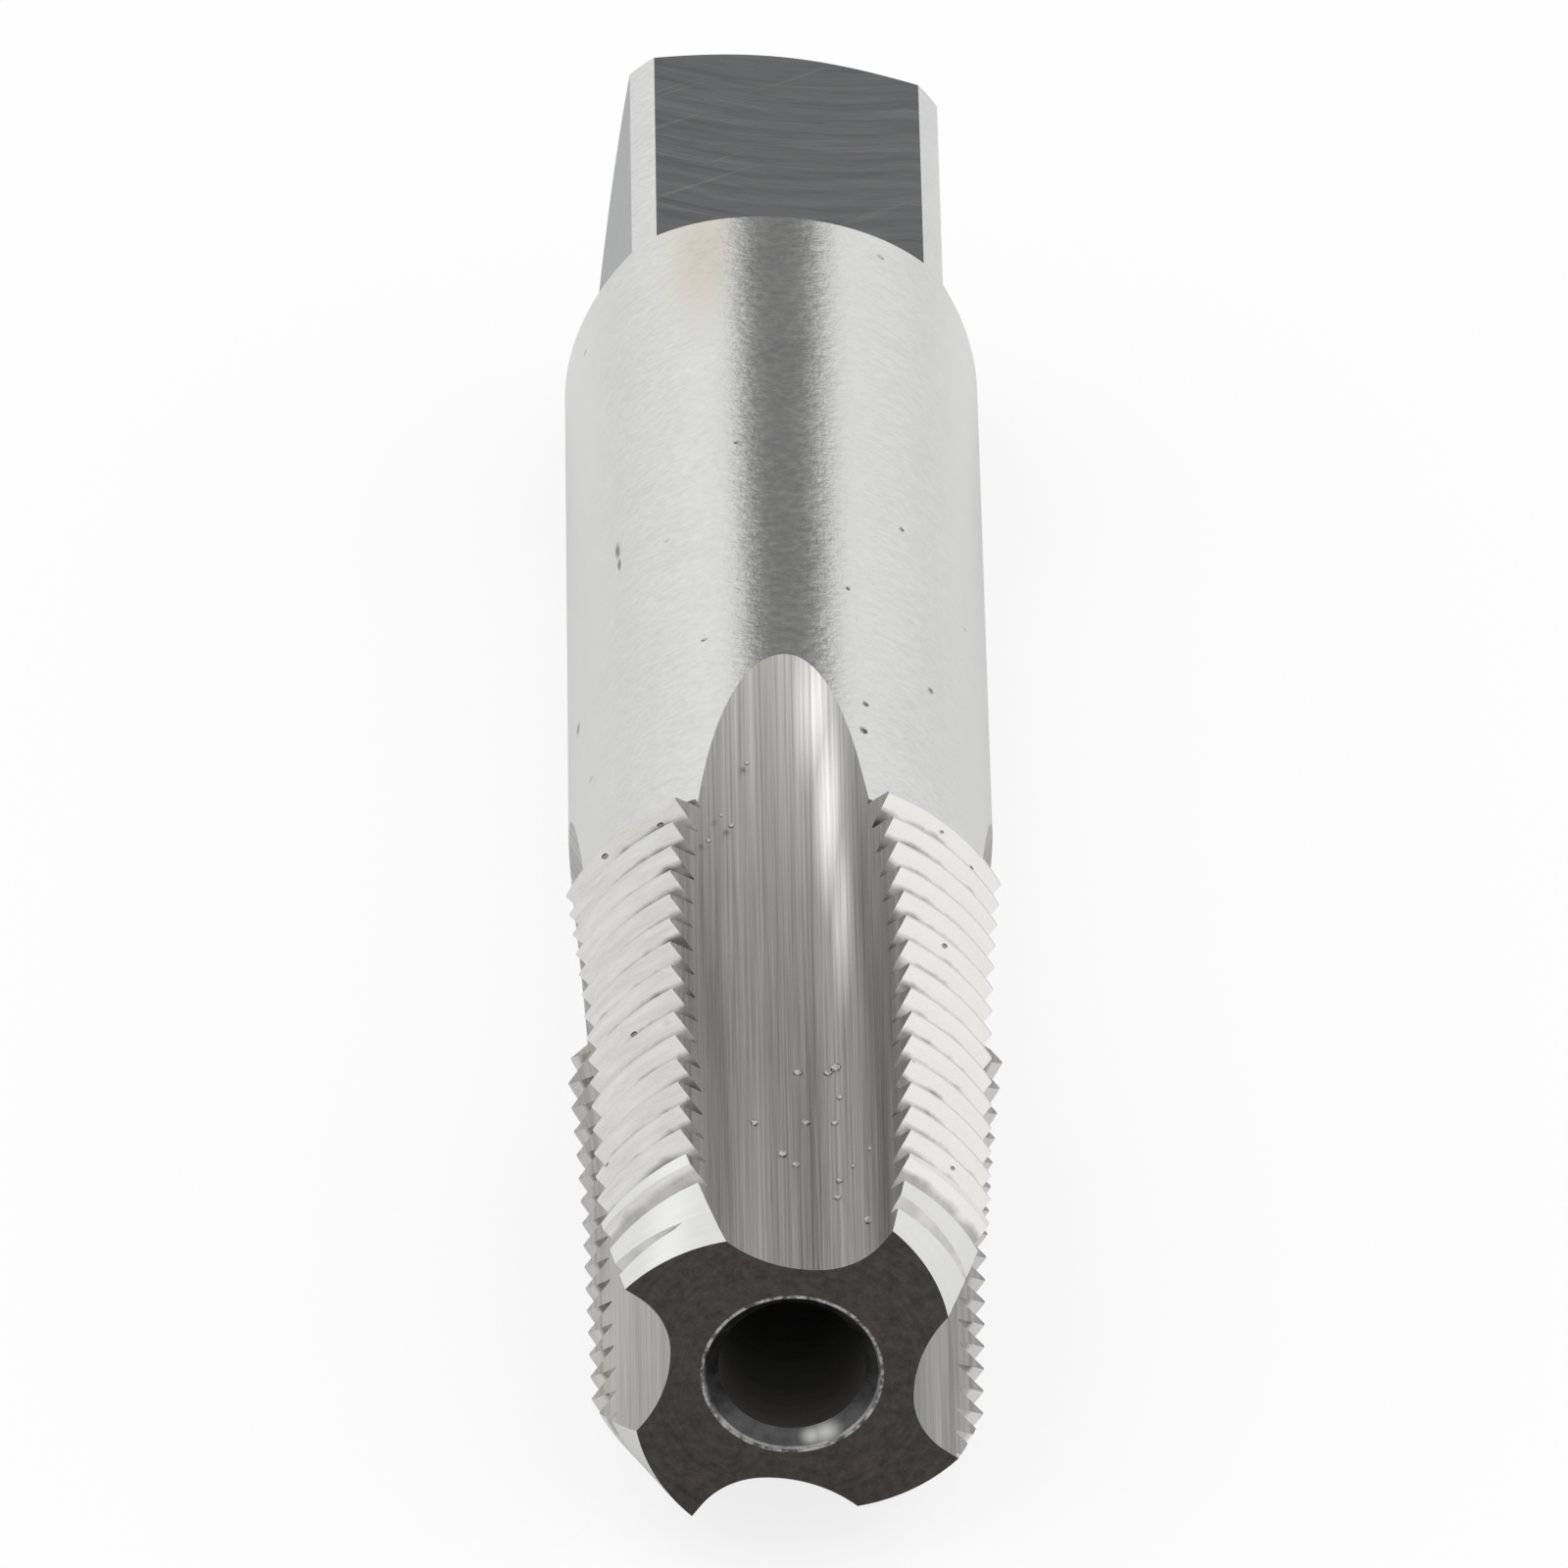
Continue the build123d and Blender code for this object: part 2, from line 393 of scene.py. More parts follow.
def ruled(tree, over, lines_over, down, lines_down, shift=0.0):
    """A place on a lay with this many lines to the millimetre over it and down it."""
    return point_at(tree, sum_of(tree, "MULTIPLY", over, lines_over / mm),
                    sum_of(tree, "MULTIPLY", down, lines_down / mm), shift)


# how far a place is across the flute or the flat that it lies in
across_the_hollow, given, made = shop_tree("across_the_hollow", "ShaderNodeTree",
                                           {"Place": "Vector", "Axis height": "Float"}, {"Across": "Float"})
x, _, z = split(across_the_hollow, given["Place"])
rise = sum_of(across_the_hollow, "SUBTRACT", z, given["Axis height"])
sideways = sum_of(across_the_hollow, "GREATER_THAN", sum_of(across_the_hollow, "ABSOLUTE", x),
                  sum_of(across_the_hollow, "ABSOLUTE", rise))
across = wire(across_the_hollow, "ShaderNodeMix", factor=sideways, a=x, b=rise).outputs[0]
across_the_hollow.links.new(across, made["Across"])

wheel_lines_across = 12
wheel_lines_along = 0.07
darker_flute_shades = (0.19, 0.188, 0.180), (0.42, 0.415, 0.400)
lighter_flute_shades = (0.31, 0.305, 0.29), (0.60, 0.59, 0.565)
# the flutes are coloured darker from the front to the first of these places, and lighter from
# the second; the left flute is lighter all along
darker_flute_end = -17.0
lighter_flute_start = -3.5
lighter_left_flute = [((-6.6, -28.0, 7.2), (5.5, 26.0, 9.0))]
# painted reflection: a near-white streak on the floor of the top flute
painted_reflection_streak = [((1.10, -7.4, 13.2), (0.85, 5.2, 5.0)), ((1.55, -12.5, 12.7), (0.70, 7.0, 5.0)),
                ((1.88, -18.0, 12.1), (0.42, 7.5, 4.5))]
painted_reflection_shade = (0.96, 0.955, 0.93)

flute_steel, tree, shader, place = finish("flute_steel")
across = shade_group(tree, across_the_hollow, place=place, axis_height=axis_height * mm)["Across"]
along = split(tree, place)["Y"]
lengthwise = ruled(tree, across, wheel_lines_across, along, wheel_lines_along)
lay = shade_group(tree, lay_lines, lay=lengthwise, broad_share=0.35)["Height"]
lines = spread(tree, lay, 0.34, 0.66)
lighter_share = sum_of(tree, "MAXIMUM", spread(tree, along, darker_flute_end * mm, lighter_flute_start * mm),
                 marks(tree, place, lighter_left_flute))
flute_shade = tinted(tree, lighter_share, tinted(tree, lines, *darker_flute_shades), tinted(tree, lines, *lighter_flute_shades))
# painted reflection: the bright streak in the top flute
painted_reflection = sum_of(tree, "MULTIPLY", marks(tree, place, painted_reflection_streak),
                spread(tree, lay, 0.37, 0.60, to_low=0.25))
coloured(tree, shader, tinted(tree, painted_reflection, flute_shade, painted_reflection_shade))
roughened(tree, shader, lay, smooth=0.34, rough=0.50)
raised(tree, shader, lay, microns=20.0)

wall_length = back_radius - core_radius + overcut
lift = shank_radius - core_radius + overcut
hollow_outline = []
for side, floor_radius, slope in ((1, rake_floor_radius, radians(rake_wall_slope)),
                                  (-1, heel_floor_radius, radians(heel_wall_slope))):
    bends = [slope * i / floor_facets for i in range(floor_facets + 1)]
    half = [(flute_floor_offset + side * floor_radius * sin(b), core_radius + floor_radius * (1 - cos(b)), 0)
            for b in bends]
    half.append((half[-1][0] + side * wall_length * cos(slope), half[-1][1] + wall_length * sin(slope), 0))
    hollow_outline += half[::-1] if side > 0 else half[1:]
flute_outline = scribed("flute_outline", hollow_outline, closed=True)

step, given, made = shop_step("flute_grinding", {
    "Outline": "Object", "Full depth length": "Float", "Wheel path radius": "Float", "Wheel arc": "Float",
    "Wheel skew": "Float", "Run-in": "Float", "Wheel facets": "Int", "Join gap": "Float",
    "Finish": "Material"})
outline = wire(step, "GeometryNodeMeshToCurve", mesh=geometry_of(step, given["Outline"])).outputs[0]
outline = moved(step, outline, rotation=(pi, 0, 0))
straight = straight_line(step, point_at(step, y=minus(step, given["Run-in"])),
                         point_at(step, y=given["Full depth length"]))
way_out = wire(step, "GeometryNodeCurveArc", {"mode": "RADIUS"}, radius=given["Wheel path radius"],
               start_angle=-pi / 2, sweep_angle=given["Wheel arc"],
               resolution=given["Wheel facets"]).outputs[0]
way_out = moved(step, way_out, rotation=(pi / 2, 0, pi / 2),
                translation=point_at(step, z=given["Wheel path radius"]))
way_out = moved(step, way_out, rotation=point_at(step, z=given["Wheel skew"]),
                translation=point_at(step, y=given["Full depth length"]))
wheel_path = step.nodes.new("GeometryNodeJoinGeometry")
step.links.new(straight, wheel_path.inputs[0])
step.links.new(way_out, wheel_path.inputs[0])
wheel_path = wire(step, "GeometryNodeCurveToMesh", curve=wheel_path.outputs[0]).outputs[0]
wheel_path = wire(step, "GeometryNodeMergeByDistance", geometry=wheel_path,
                  distance=given["Join gap"]).outputs[0]
wheel_path = wire(step, "GeometryNodeMeshToCurve", mesh=wheel_path).outputs[0]
wheel_path = wire(step, "GeometryNodeReverseCurve", curve=wheel_path).outputs[0]
wheel = coated(step, swept(step, level_curve(step, wheel_path), outline), given["Finish"])
step.links.new(cut_away(step, given["Geometry"], indexed(step, wheel, flute_count)), made["Geometry"])
work(tap, step, {
    "Outline": flute_outline, "Full depth length": flute_full_depth_length * mm,
    "Wheel path radius": (core_radius + wheel_radius) * mm, "Wheel arc": acos(1 - lift / wheel_radius),
    "Wheel skew": radians(wheel_skew), "Run-in": overcut * mm, "Wheel facets": wheel_facets,
    "Join gap": join_gap * mm, "Finish": flute_steel})


# Thread: a 60 degree groove of 18 turns an inch, ground round the tapered lands on a
# right-hand helix. It runs out just behind the thread. Its flanks are ground bright, with small
# chips in the teeth; shade is painted deep in the groove, and light on the lands of the right side.
inch = 25.4
turns_per_inch = 18
crest_flat = 0.12
root_flat = 0.10
flank_angle = 30
thread_start_angle = 74.3
groove_end_overrun = 0.7
groove_overcut = 0.05
turn_facets = 240
pitch = inch / turns_per_inch
groove_width = pitch - crest_flat
groove_depth = (groove_width - root_flat) / 2 / tan(radians(flank_angle))
# place of the front end when the finished tap lies on the table
front_end = -overall_length / 2

thread_lay = (0.7, 8.0, 0.7)
thread_shades = (0.56, 0.555, 0.535), (0.76, 0.755, 0.73)
# painted light: the lands are coloured lighter towards the right side, over this reach in mm
painted_light_side_reach = 3
painted_light_side_share = 0.7
painted_light_side_shade = (0.89, 0.88, 0.85)
# noise that breaks up the painted shade in the groove
root_shade_noise_scale = 1.1
root_shade_noise_depth = 0.35
# painted shade deep in the groove: how far below the crests it starts and is full,
# and where along the thread it thickens
root_shade_starts = 0.40
root_shade_full = 0.58
root_shade_faint_front = -38.0
root_shade_full_from = -33.0
root_shade_colour = (0.13, 0.125, 0.115)
chip_lay = (1.0, 2.6, 1.0)
thread_chips = [((-5.315, -25.108, 12.57), (0.35, 0.22, 0.35)), ((-3.93, -27.531, 13.558), (0.30, 0.16, 0.3)),
                ((-4.283, -14.938, 13.801), (0.2, 0.14, 0.2)), ((6.953, -21.567, 10.454), (0.35, 0.25, 0.35))]
chip_strength = 0.75
chip_shade = (0.16, 0.15, 0.14)

thread_steel, tree, shader, place = finish("thread_steel")
x, y, _ = split(tree, place)
lay = shade_group(tree, lay_lines, lay=stretched(tree, place, thread_lay), broad_share=0.4)["Height"]
thread_shade = tinted(tree, spread(tree, lay), *thread_shades)
# painted light on the lands of the right side
painted_light_side = spread(tree, x, -painted_light_side_reach * mm, painted_light_side_reach * mm)
thread_shade = tinted(tree, sum_of(tree, "MULTIPLY", painted_light_side, painted_light_side_share), thread_shade,
                      painted_light_side_shade)
radius = shade_group(tree, off_axis, place=place, axis_height=axis_height * mm)["Radius"]
crest = sum_of(tree, "MULTIPLY_ADD", y, taper_slope, (front_radius - taper_slope * front_end) * mm)
below_crest = sum_of(tree, "SUBTRACT", crest, radius)
root_shade_noise = noise(tree, place, root_shade_noise_scale / mm, detail=3.0)
root_shade_wobble = sum_of(tree, "SUBTRACT", root_shade_noise, 0.5)
below_crest = sum_of(tree, "MULTIPLY_ADD", root_shade_wobble, root_shade_noise_depth * mm, below_crest)
# painted shade: the groove is darkened below the crests, broken up by noise
root_shade = spread(tree, below_crest, root_shade_starts * mm, root_shade_full * mm)
root_shade = sum_of(tree, "MULTIPLY", root_shade, spread(tree, root_shade_noise, to_low=0.45))
root_shade = sum_of(tree, "MULTIPLY", root_shade, spread(tree, y, root_shade_faint_front * mm, root_shade_full_from * mm, to_low=0.35))
thread_shade = tinted(tree, root_shade, thread_shade, root_shade_colour)
chip = shade_group(tree, pits, lay=stretched(tree, place, chip_lay), share=0.22, size=0.15)["Pit"]
chip = sum_of(tree, "MAXIMUM", chip, marks(tree, place, thread_chips))
coloured(tree, shader, tinted(tree, sum_of(tree, "MULTIPLY", chip, chip_strength), thread_shade, chip_shade))
roughened(tree, shader, lay, smooth=0.22, rough=0.36)
sunk = raised(tree, shader, sum_of(tree, "SUBTRACT", 1.0, chip), microns=50.0)
raised(tree, shader, lay, microns=6.0, under=sunk)

step, given, made = shop_step("thread_grinding", {
    "Pitch": "Float", "Thread length": "Float", "Front radius": "Float", "Taper slope": "Float",
    "Groove depth": "Float", "Root width": "Float", "Mouth width": "Float", "Overcut": "Float",
    "Start angle": "Float", "Facets a turn": "Int", "Finish": "Material"})
lead_in = minus(step, given["Pitch"])
helix_length = sum_of(step, "SUBTRACT", given["Thread length"], lead_in)
helix = wire(step, "GeometryNodeCurveSpiral", resolution=given["Facets a turn"], reverse=True,
             rotations=sum_of(step, "DIVIDE", helix_length, given["Pitch"]), height=helix_length,
             start_radius=sum_of(step, "MULTIPLY_ADD", lead_in, given["Taper slope"], given["Front radius"]),
             end_radius=sum_of(step, "MULTIPLY_ADD", given["Thread length"], given["Taper slope"],
                               given["Front radius"])).outputs[0]
notch = wire(step, "GeometryNodeCurvePrimitiveQuadrilateral", {"mode": "TRAPEZOID"},
             height=sum_of(step, "ADD", given["Groove depth"], given["Overcut"]),
             bottom_width=given["Root width"], top_width=given["Mouth width"], offset=0.0).outputs[0]
notch_middle = sum_of(step, "DIVIDE", sum_of(step, "SUBTRACT", given["Overcut"], given["Groove depth"]), 2.0)
notch = moved(step, notch, rotation=(0, 0, -pi / 2), translation=point_at(step, x=notch_middle))
groove = swept(step, level_curve(step, helix), notch)
groove = moved(step, groove, rotation=(-pi / 2, 0, 0))
groove = moved(step, groove, rotation=point_at(step, y=given["Start angle"]),
               translation=point_at(step, y=lead_in))
groove = coated(step, groove, given["Finish"])
step.links.new(cut_away(step, given["Geometry"], [groove]), made["Geometry"])
work(tap, step, {
    "Pitch": pitch * mm, "Thread length": (thread_length + groove_end_overrun) * mm,
    "Front radius": front_radius * mm, "Taper slope": taper_slope, "Groove depth": groove_depth * mm,
    "Root width": root_flat * mm, "Overcut": groove_overcut * mm,
    "Mouth width": (groove_width + 2 * groove_overcut * tan(radians(flank_angle))) * mm,
    "Start angle": radians(thread_start_angle - 90), "Facets a turn": turn_facets, "Finish": thread_steel})


# Entry chamfer: the front teeth of each land are ground down to a cone, and relieved from
# the cutting edge back to the heel. The wheel leaves it the brightest of all the faces.
entry_chamfer_length = 3.65
cutting_edge_radius = 6.2
heel_radius = 5.4
cutting_edge_angle = 33.0
heel_angle = 68.5
sector_half_angle = 44
cone_facets = 360
chamfer_lay = (0.4, 6.0, 0.4)
chamfer_shades = (0.64, 0.65, 0.635), (0.80, 0.805, 0.79)

chamfer_steel, tree, shader, place = finish("chamfer_steel")
lay = shade_group(tree, lay_lines, lay=stretched(tree, place, chamfer_lay), broad_share=0.5)["Height"]
coloured(tree, shader, tinted(tree, lay, *chamfer_shades))
roughened(tree, shader, lay, smooth=0.12, rough=0.20)
raised(tree, shader, lay, microns=0.7)

half_land = radians(heel_angle - cutting_edge_angle) / 2
eccentricity = (cutting_edge_radius - heel_radius) / 2 / sin(half_land)
mid_land_radius = (cutting_edge_radius + heel_radius) / 2
cone_front_radius = sqrt(mid_land_radius ** 2 + (eccentricity * cos(half_land)) ** 2)
cone_back_radius = front_radius + taper_slope * entry_chamfer_length
run_in_share = 1 + overcut / entry_chamfer_length

step, given, made = shop_step("chamfer_grinding", {
    "Run-in": "Float", "Chamfer length": "Float", "Nose radius": "Float", "Back radius": "Float",
    "Nose shift": "Float", "Land middle": "Float", "Sector radius": "Float", "Sector half angle": "Float",
    "Facets": "Int", "Finish": "Material"})
cone_length = sum_of(step, "ADD", given["Run-in"], given["Chamfer length"])
cone_line = straight_line(step, point_at(step, y=minus(step, given["Run-in"])),
                          point_at(step, y=given["Chamfer length"]))
way_back = step.nodes.new("GeometryNodeSplineParameter").outputs["Factor"]
cone_radius = wire(step, "ShaderNodeMix", factor=way_back, a=given["Nose radius"],
                   b=given["Back radius"]).outputs[0]
cone = swept(step, level_curve(step, cone_line), round_profile(step, given["Facets"]), scale=cone_radius)
along = split(step, step.nodes.new("GeometryNodeInputPosition").outputs[0])["Y"]
ahead = sum_of(step, "SUBTRACT", given["Chamfer length"], along)
nose_share = sum_of(step, "DIVIDE", ahead, cone_length)
cone = wire(step, "GeometryNodeSetPosition", geometry=cone, offset=point_at(
    step, z=sum_of(step, "MULTIPLY", nose_share, given["Nose shift"]))).outputs[0]
sector = wire(step, "GeometryNodeCurveArc", {"mode": "RADIUS"}, resolution=given["Facets"],
              radius=given["Sector radius"], connect_center=True,
              start_angle=minus(step, given["Sector half angle"]),
              sweep_angle=sum_of(step, "MULTIPLY", given["Sector half angle"], 2.0)).outputs[0]
sector = swept(step, level_curve(step, cone_line), sector)
relief = cut_away(step, coated(step, sector, given["Finish"]), [coated(step, cone, given["Finish"])])
relief = moved(step, relief, rotation=point_at(step, y=given["Land middle"]))
step.links.new(cut_away(step, given["Geometry"], indexed(step, relief, flute_count)), made["Geometry"])
work(tap, step, {
    "Run-in": overcut * mm, "Chamfer length": entry_chamfer_length * mm, "Back radius": cone_back_radius * mm,
    "Nose radius": (cone_back_radius - (cone_back_radius - cone_front_radius) * run_in_share) * mm,
    "Nose shift": eccentricity * run_in_share * mm,
    "Land middle": radians((cutting_edge_angle + heel_angle) / 2 - 90),
    "Sector radius": (back_radius + overcut) * mm, "Sector half angle": radians(sector_half_angle),
    "Facets": cone_facets, "Finish": chamfer_steel})


# Centre bore: a blind hole drilled in the front end, with a countersunk mouth that is worn
# bright where the centre has run in it. The hole itself is dark with scale.
bore_radius = 2.36
mouth_radius = 2.83
mouth_depth = 0.55
bore_depth = 12.0
drill_point_angle = 118
drill_tip_radius = 0.002
bore_facets = 192
bore_lay = (0.7, 5.0, 0.7)
bore_shades = (0.05, 0.048, 0.046), (0.16, 0.155, 0.15)

bore_scale, tree, shader, place = finish("bore_scale", metallic=0.5)
lay = shade_group(tree, lay_lines, lay=stretched(tree, place, bore_lay), broad_share=0.4)["Height"]
coloured(tree, shader, tinted(tree, lay, *bore_shades))
roughened(tree, shader, lay, smooth=0.38, rough=0.52)
raised(tree, shader, lay, microns=5.0)

mouth_lay = (1.4, 1.4, 1.4)
mouth_shades = (0.015, 0.015, 0.015), (0.13, 0.13, 0.13)
rim_width = 0.09
rim_inner_width = rim_width * 0.6
worn_spots = [((1.05, -38.62, 4.80), (0.80, 0.50, 0.62)), ((0.62, -38.62, 4.70), (0.55, 0.42, 0.5))]
worn_shade = (0.50, 0.50, 0.49)

mouth_steel, tree, shader, place = finish("mouth_steel")
lay = shade_group(tree, lay_lines, lay=stretched(tree, place, mouth_lay), broad_share=0.5)["Height"]
along = split(tree, place)["Y"]
rim = spread(tree, along, (front_end + rim_width) * mm, (front_end + rim_inner_width) * mm)
rim = sum_of(tree, "MULTIPLY", rim, spread(tree, lay, 0.42, 0.6, to_low=0.05, to_high=0.8))
worn = sum_of(tree, "MAXIMUM", marks(tree, place, worn_spots), rim)
coloured(tree, shader, tinted(tree, worn, tinted(tree, spread(tree, lay), *mouth_shades), worn_shade))
roughened(tree, shader, lay, smooth=0.24, rough=0.40)
raised(tree, shader, lay, microns=30.0)

drill_outline = scribed(
    "drill_outline",
    [(0, -overcut, 0), (0, mouth_depth, 0), (0, bore_depth, 0),
     (0, bore_depth + bore_radius / tan(radians(drill_point_angle / 2)), 0)],
    [mouth_radius + (mouth_radius - bore_radius) / mouth_depth * overcut, bore_radius, bore_radius,
     drill_tip_radius])
step, given, made = shop_step("centre_boring", {
    "Drill": "Object", "Mouth depth": "Float", "Facets": "Int", "Bore finish": "Material",
    "Mouth finish": "Material"})
drill = turned(step, geometry_of(step, given["Drill"]), given["Facets"])
drill = coated(step, drill, given["Bore finish"])
along = split(step, step.nodes.new("GeometryNodeInputPosition").outputs[0])["Y"]
drill = wire(step, "GeometryNodeSetMaterial", geometry=drill, material=given["Mouth finish"],
             selection=sum_of(step, "LESS_THAN", along, given["Mouth depth"])).outputs[0]
step.links.new(cut_away(step, given["Geometry"], [drill]), made["Geometry"])
work(tap, step, {"Drill": drill_outline, "Mouth depth": mouth_depth * mm, "Facets": bore_facets,
                 "Bore finish": bore_scale, "Mouth finish": mouth_steel})


# Driving square: four flats at the tail, milled by a cutter that stands square to each flat
# and leaves a round shoulder. The flats are left as milled, darker than the ground steel,
# with the faint arcs of the cutter and a few slanting scratches.
square_sides = 4
square_size = 10.62
square_length = 14.6
square_turn = 8.2
cutter_radius = 13.0
cutter_depth = 3.5
cutter_facets = 360
cutter_centre = overall_length - square_length + cutter_radius

arc_lines_along = 8
arc_lines_across = 0.5
milled_shades = (0.200, 0.203, 0.207), (0.275, 0.278, 0.282)
scratch_slant = 0.9
scratches_along = 2
scratches_across = 0.09
scratch_shift = 7.0
scratch_shade = (0.45, 0.45, 0.445)

milled_steel, tree, shader, place = finish("milled_steel")
across = shade_group(tree, across_the_hollow, place=place, axis_height=axis_height * mm)["Across"]
along = split(tree, place)["Y"]
sweep = sum_of(tree, "SQRT", sum_of(tree, "SUBTRACT", (cutter_radius * mm) ** 2,
                                    sum_of(tree, "MULTIPLY", across, across)))
arc = sum_of(tree, "ADD", along, sweep)
milled = ruled(tree, arc, arc_lines_along, across, arc_lines_across)
lay = shade_group(tree, lay_lines, lay=milled, broad_share=0.5)["Height"]
slanted = sum_of(tree, "MULTIPLY_ADD", across, -scratch_slant, along)
scratched = ruled(tree, slanted, scratches_along, across, scratches_across, shift=scratch_shift)
scratch = spread(tree, noise(tree, scratched, 1.0, detail=2.0, roughness=0.6), 0.63, 0.68, to_high=0.28)
coloured(tree, shader, tinted(tree, scratch, tinted(tree, spread(tree, lay), *milled_shades), scratch_shade))
roughened(tree, shader, lay, smooth=0.30, rough=0.42)
raised(tree, shader, lay, microns=3.5)

step, given, made = shop_step("square_milling", {
    "Half size": "Float", "Cutter radius": "Float", "Cutter centre": "Float", "Cutter depth": "Float",
    "Turn": "Float", "Facets": "Int", "Finish": "Material"})
cutter_top = sum_of(step, "ADD", given["Half size"], given["Cutter depth"])
cutter_line = straight_line(step, point_at(step, y=given["Cutter centre"], z=given["Half size"]),
                            point_at(step, y=given["Cutter centre"], z=cutter_top))
cutter = swept(step, cutter_line, round_profile(step, given["Facets"], given["Cutter radius"]))
cutter = moved(step, cutter, rotation=point_at(step, y=given["Turn"]))
cutter = coated(step, cutter, given["Finish"])
step.links.new(cut_away(step, given["Geometry"], indexed(step, cutter, square_sides)), made["Geometry"])
work(tap, step, {
    "Half size": square_size / 2 * mm, "Cutter radius": cutter_radius * mm,
    "Cutter centre": cutter_centre * mm, "Cutter depth": cutter_depth * mm, "Turn": radians(square_turn),
    "Facets": cutter_facets, "Finish": milled_steel})


# Specks: beads of steel that the grinding spark has welded to the floor of the top flute.
# Each stands a little proud of the floor, and is duller than the wheel lines around it.
# They are given by their places on the drawn tap and their radii.
specks = [(0.39, 12.14, 3.91, 0.13), (1.37, 12.12, 3.90, 0.12), (1.63, 12.34, 3.95, 0.15),
          (-1.06, 8.32, 4.37, 0.11), (0.61, 9.05, 3.89, 0.12), (1.55, 8.94, 3.93, 0.10),
          (1.73, 10.45, 3.98, 0.09), (-0.17, 6.91, 4.03, 0.13), (0.26, 6.38, 3.93, 0.12),
          (1.66, 5.31, 3.96, 0.10), (1.59, 4.32, 3.94, 0.10), (2.57, 2.10, 4.42, 0.13),
          (-1.05, 28.25, 6.09, 0.07), (-1.60, 24.79, 5.76, 0.08), (-1.92, 25.02, 6.04, 0.06),
          (-2.35, 23.19, 6.16, 0.07), (2.66, 6.38, 4.49, 0.07), (2.11, 5.92, 4.13, 0.06)]
speck_growth = 1.3
speck_flatness = 0.7
speck_subdivisions = 2
speck_grain = 9
speck_shades = (0.24, 0.235, 0.225), (0.56, 0.55, 0.53)

bead_steel, tree, shader, place = finish("bead_steel")
grain = noise(tree, place, speck_grain / mm, detail=2.0)
coloured(tree, shader, tinted(tree, spread(tree, grain, 0.35, 0.6), *speck_shades))
roughened(tree, shader, grain, smooth=0.30, rough=0.50)
raised(tree, shader, grain, microns=12.0)

speck_places = scribed("speck_places", [place for *place, radius in specks],
                       [radius * speck_growth for *place, radius in specks])
step, given, made = shop_step("welding_specks", {
    "Places": "Object", "Flatness": "Float", "Subdivisions": "Int", "Finish": "Material"})
bead = wire(step, "GeometryNodeMeshIcoSphere", radius=1.0, subdivisions=given["Subdivisions"]).outputs[0]
bead_radius = turned_radius_at(step)
bead_size = point_at(step, bead_radius, bead_radius, sum_of(step, "MULTIPLY", bead_radius, given["Flatness"]))
beads = wire(step, "GeometryNodeInstanceOnPoints", points=geometry_of(step, given["Places"]), instance=bead,
             scale=bead_size).outputs[0]
beads = wire(step, "GeometryNodeRealizeInstances", geometry=beads).outputs[0]
both = step.nodes.new("GeometryNodeJoinGeometry")
step.links.new(coated(step, beads, given["Finish"]), both.inputs[0])
step.links.new(given["Geometry"], both.inputs[0])
step.links.new(both.outputs[0], made["Geometry"])
work(tap, step, {"Places": speck_places, "Flatness": speck_flatness, "Subdivisions": speck_subdivisions,
                 "Finish": bead_steel})


# Finished tap: turned a little about its axis and laid on the two lands that it comes to
# rest on. Its ground edges stay sharp, and its round faces are smooth.
rest_turn = 0.6
sharp_angle = 6

step, given, made = shop_step("laying_down", {
    "Turn": "Float", "Axis height": "Float", "Half length": "Float", "Sharp angle": "Float"})
laid = moved(step, given["Geometry"], rotation=point_at(step, y=minus(step, given["Turn"])),
             translation=point_at(step, y=minus(step, given["Half length"]), z=given["Axis height"]))
laid = wire(step, "GeometryNodeSetShadeSmooth", {"domain": "FACE"}, geometry=laid,
            shade_smooth=True).outputs[0]
corner = step.nodes.new("GeometryNodeInputMeshEdgeAngle").outputs["Unsigned Angle"]
laid = wire(step, "GeometryNodeSetShadeSmooth", {"domain": "EDGE"}, geometry=laid,
            shade_smooth=sum_of(step, "LESS_THAN", corner, given["Sharp angle"])).outputs[0]
step.links.new(wire(step, "GeometryNodeRealizeInstances", geometry=laid).outputs[0], made["Geometry"])
work(tap, step, {"Turn": radians(rest_turn), "Axis height": axis_height * mm,
                 "Half length": overall_length / 2 * mm, "Sharp angle": radians(sharp_angle)})

finished = tap.evaluated_get(bpy.context.evaluated_depsgraph_get())
finished_mesh = bpy.data.meshes.new_from_object(finished)
tap.modifiers.clear()
tap.data = finished_mesh
for scribed_line in (flute_outline, drill_outline, speck_places):
    bpy.data.objects.remove(scribed_line)
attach(tap, "root")
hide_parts("pipe_tap")


# Floor: a plain white table, covered with paper, its size in metres. It glows to the camera
# alone, so that it stays white in the picture and throws no more light on the tap.
floor_half = 2.0
floor_colour = (0.96, 0.96, 0.96)
floor_roughness = 0.9
floor_glow = 0.8
glow_colour = (1, 1, 1, 1)

floor_mesh = bpy.data.meshes.new("table")
corners = [(-floor_half, -floor_half, 0), (floor_half, -floor_half, 0), (floor_half, floor_half, 0),
           (-floor_half, floor_half, 0)]
floor_mesh.from_pydata(corners, [], [(0, 1, 2, 3)])
floor = bpy.data.objects.new("table", floor_mesh)
bpy.context.scene.collection.objects.link(floor)
table_paper, tree, shader, _ = finish("table_paper", metallic=0.0)
shader.inputs["Roughness"].default_value = floor_roughness
shader.inputs["Base Color"].default_value = (*floor_colour, 1)
shader.inputs["Specular IOR Level"].default_value = 0.0
seen = sum_of(tree, "MULTIPLY", tree.nodes.new("ShaderNodeLightPath").outputs["Is Camera Ray"], floor_glow)
white = wire(tree, "ShaderNodeEmission", color=glow_colour, strength=1.0)
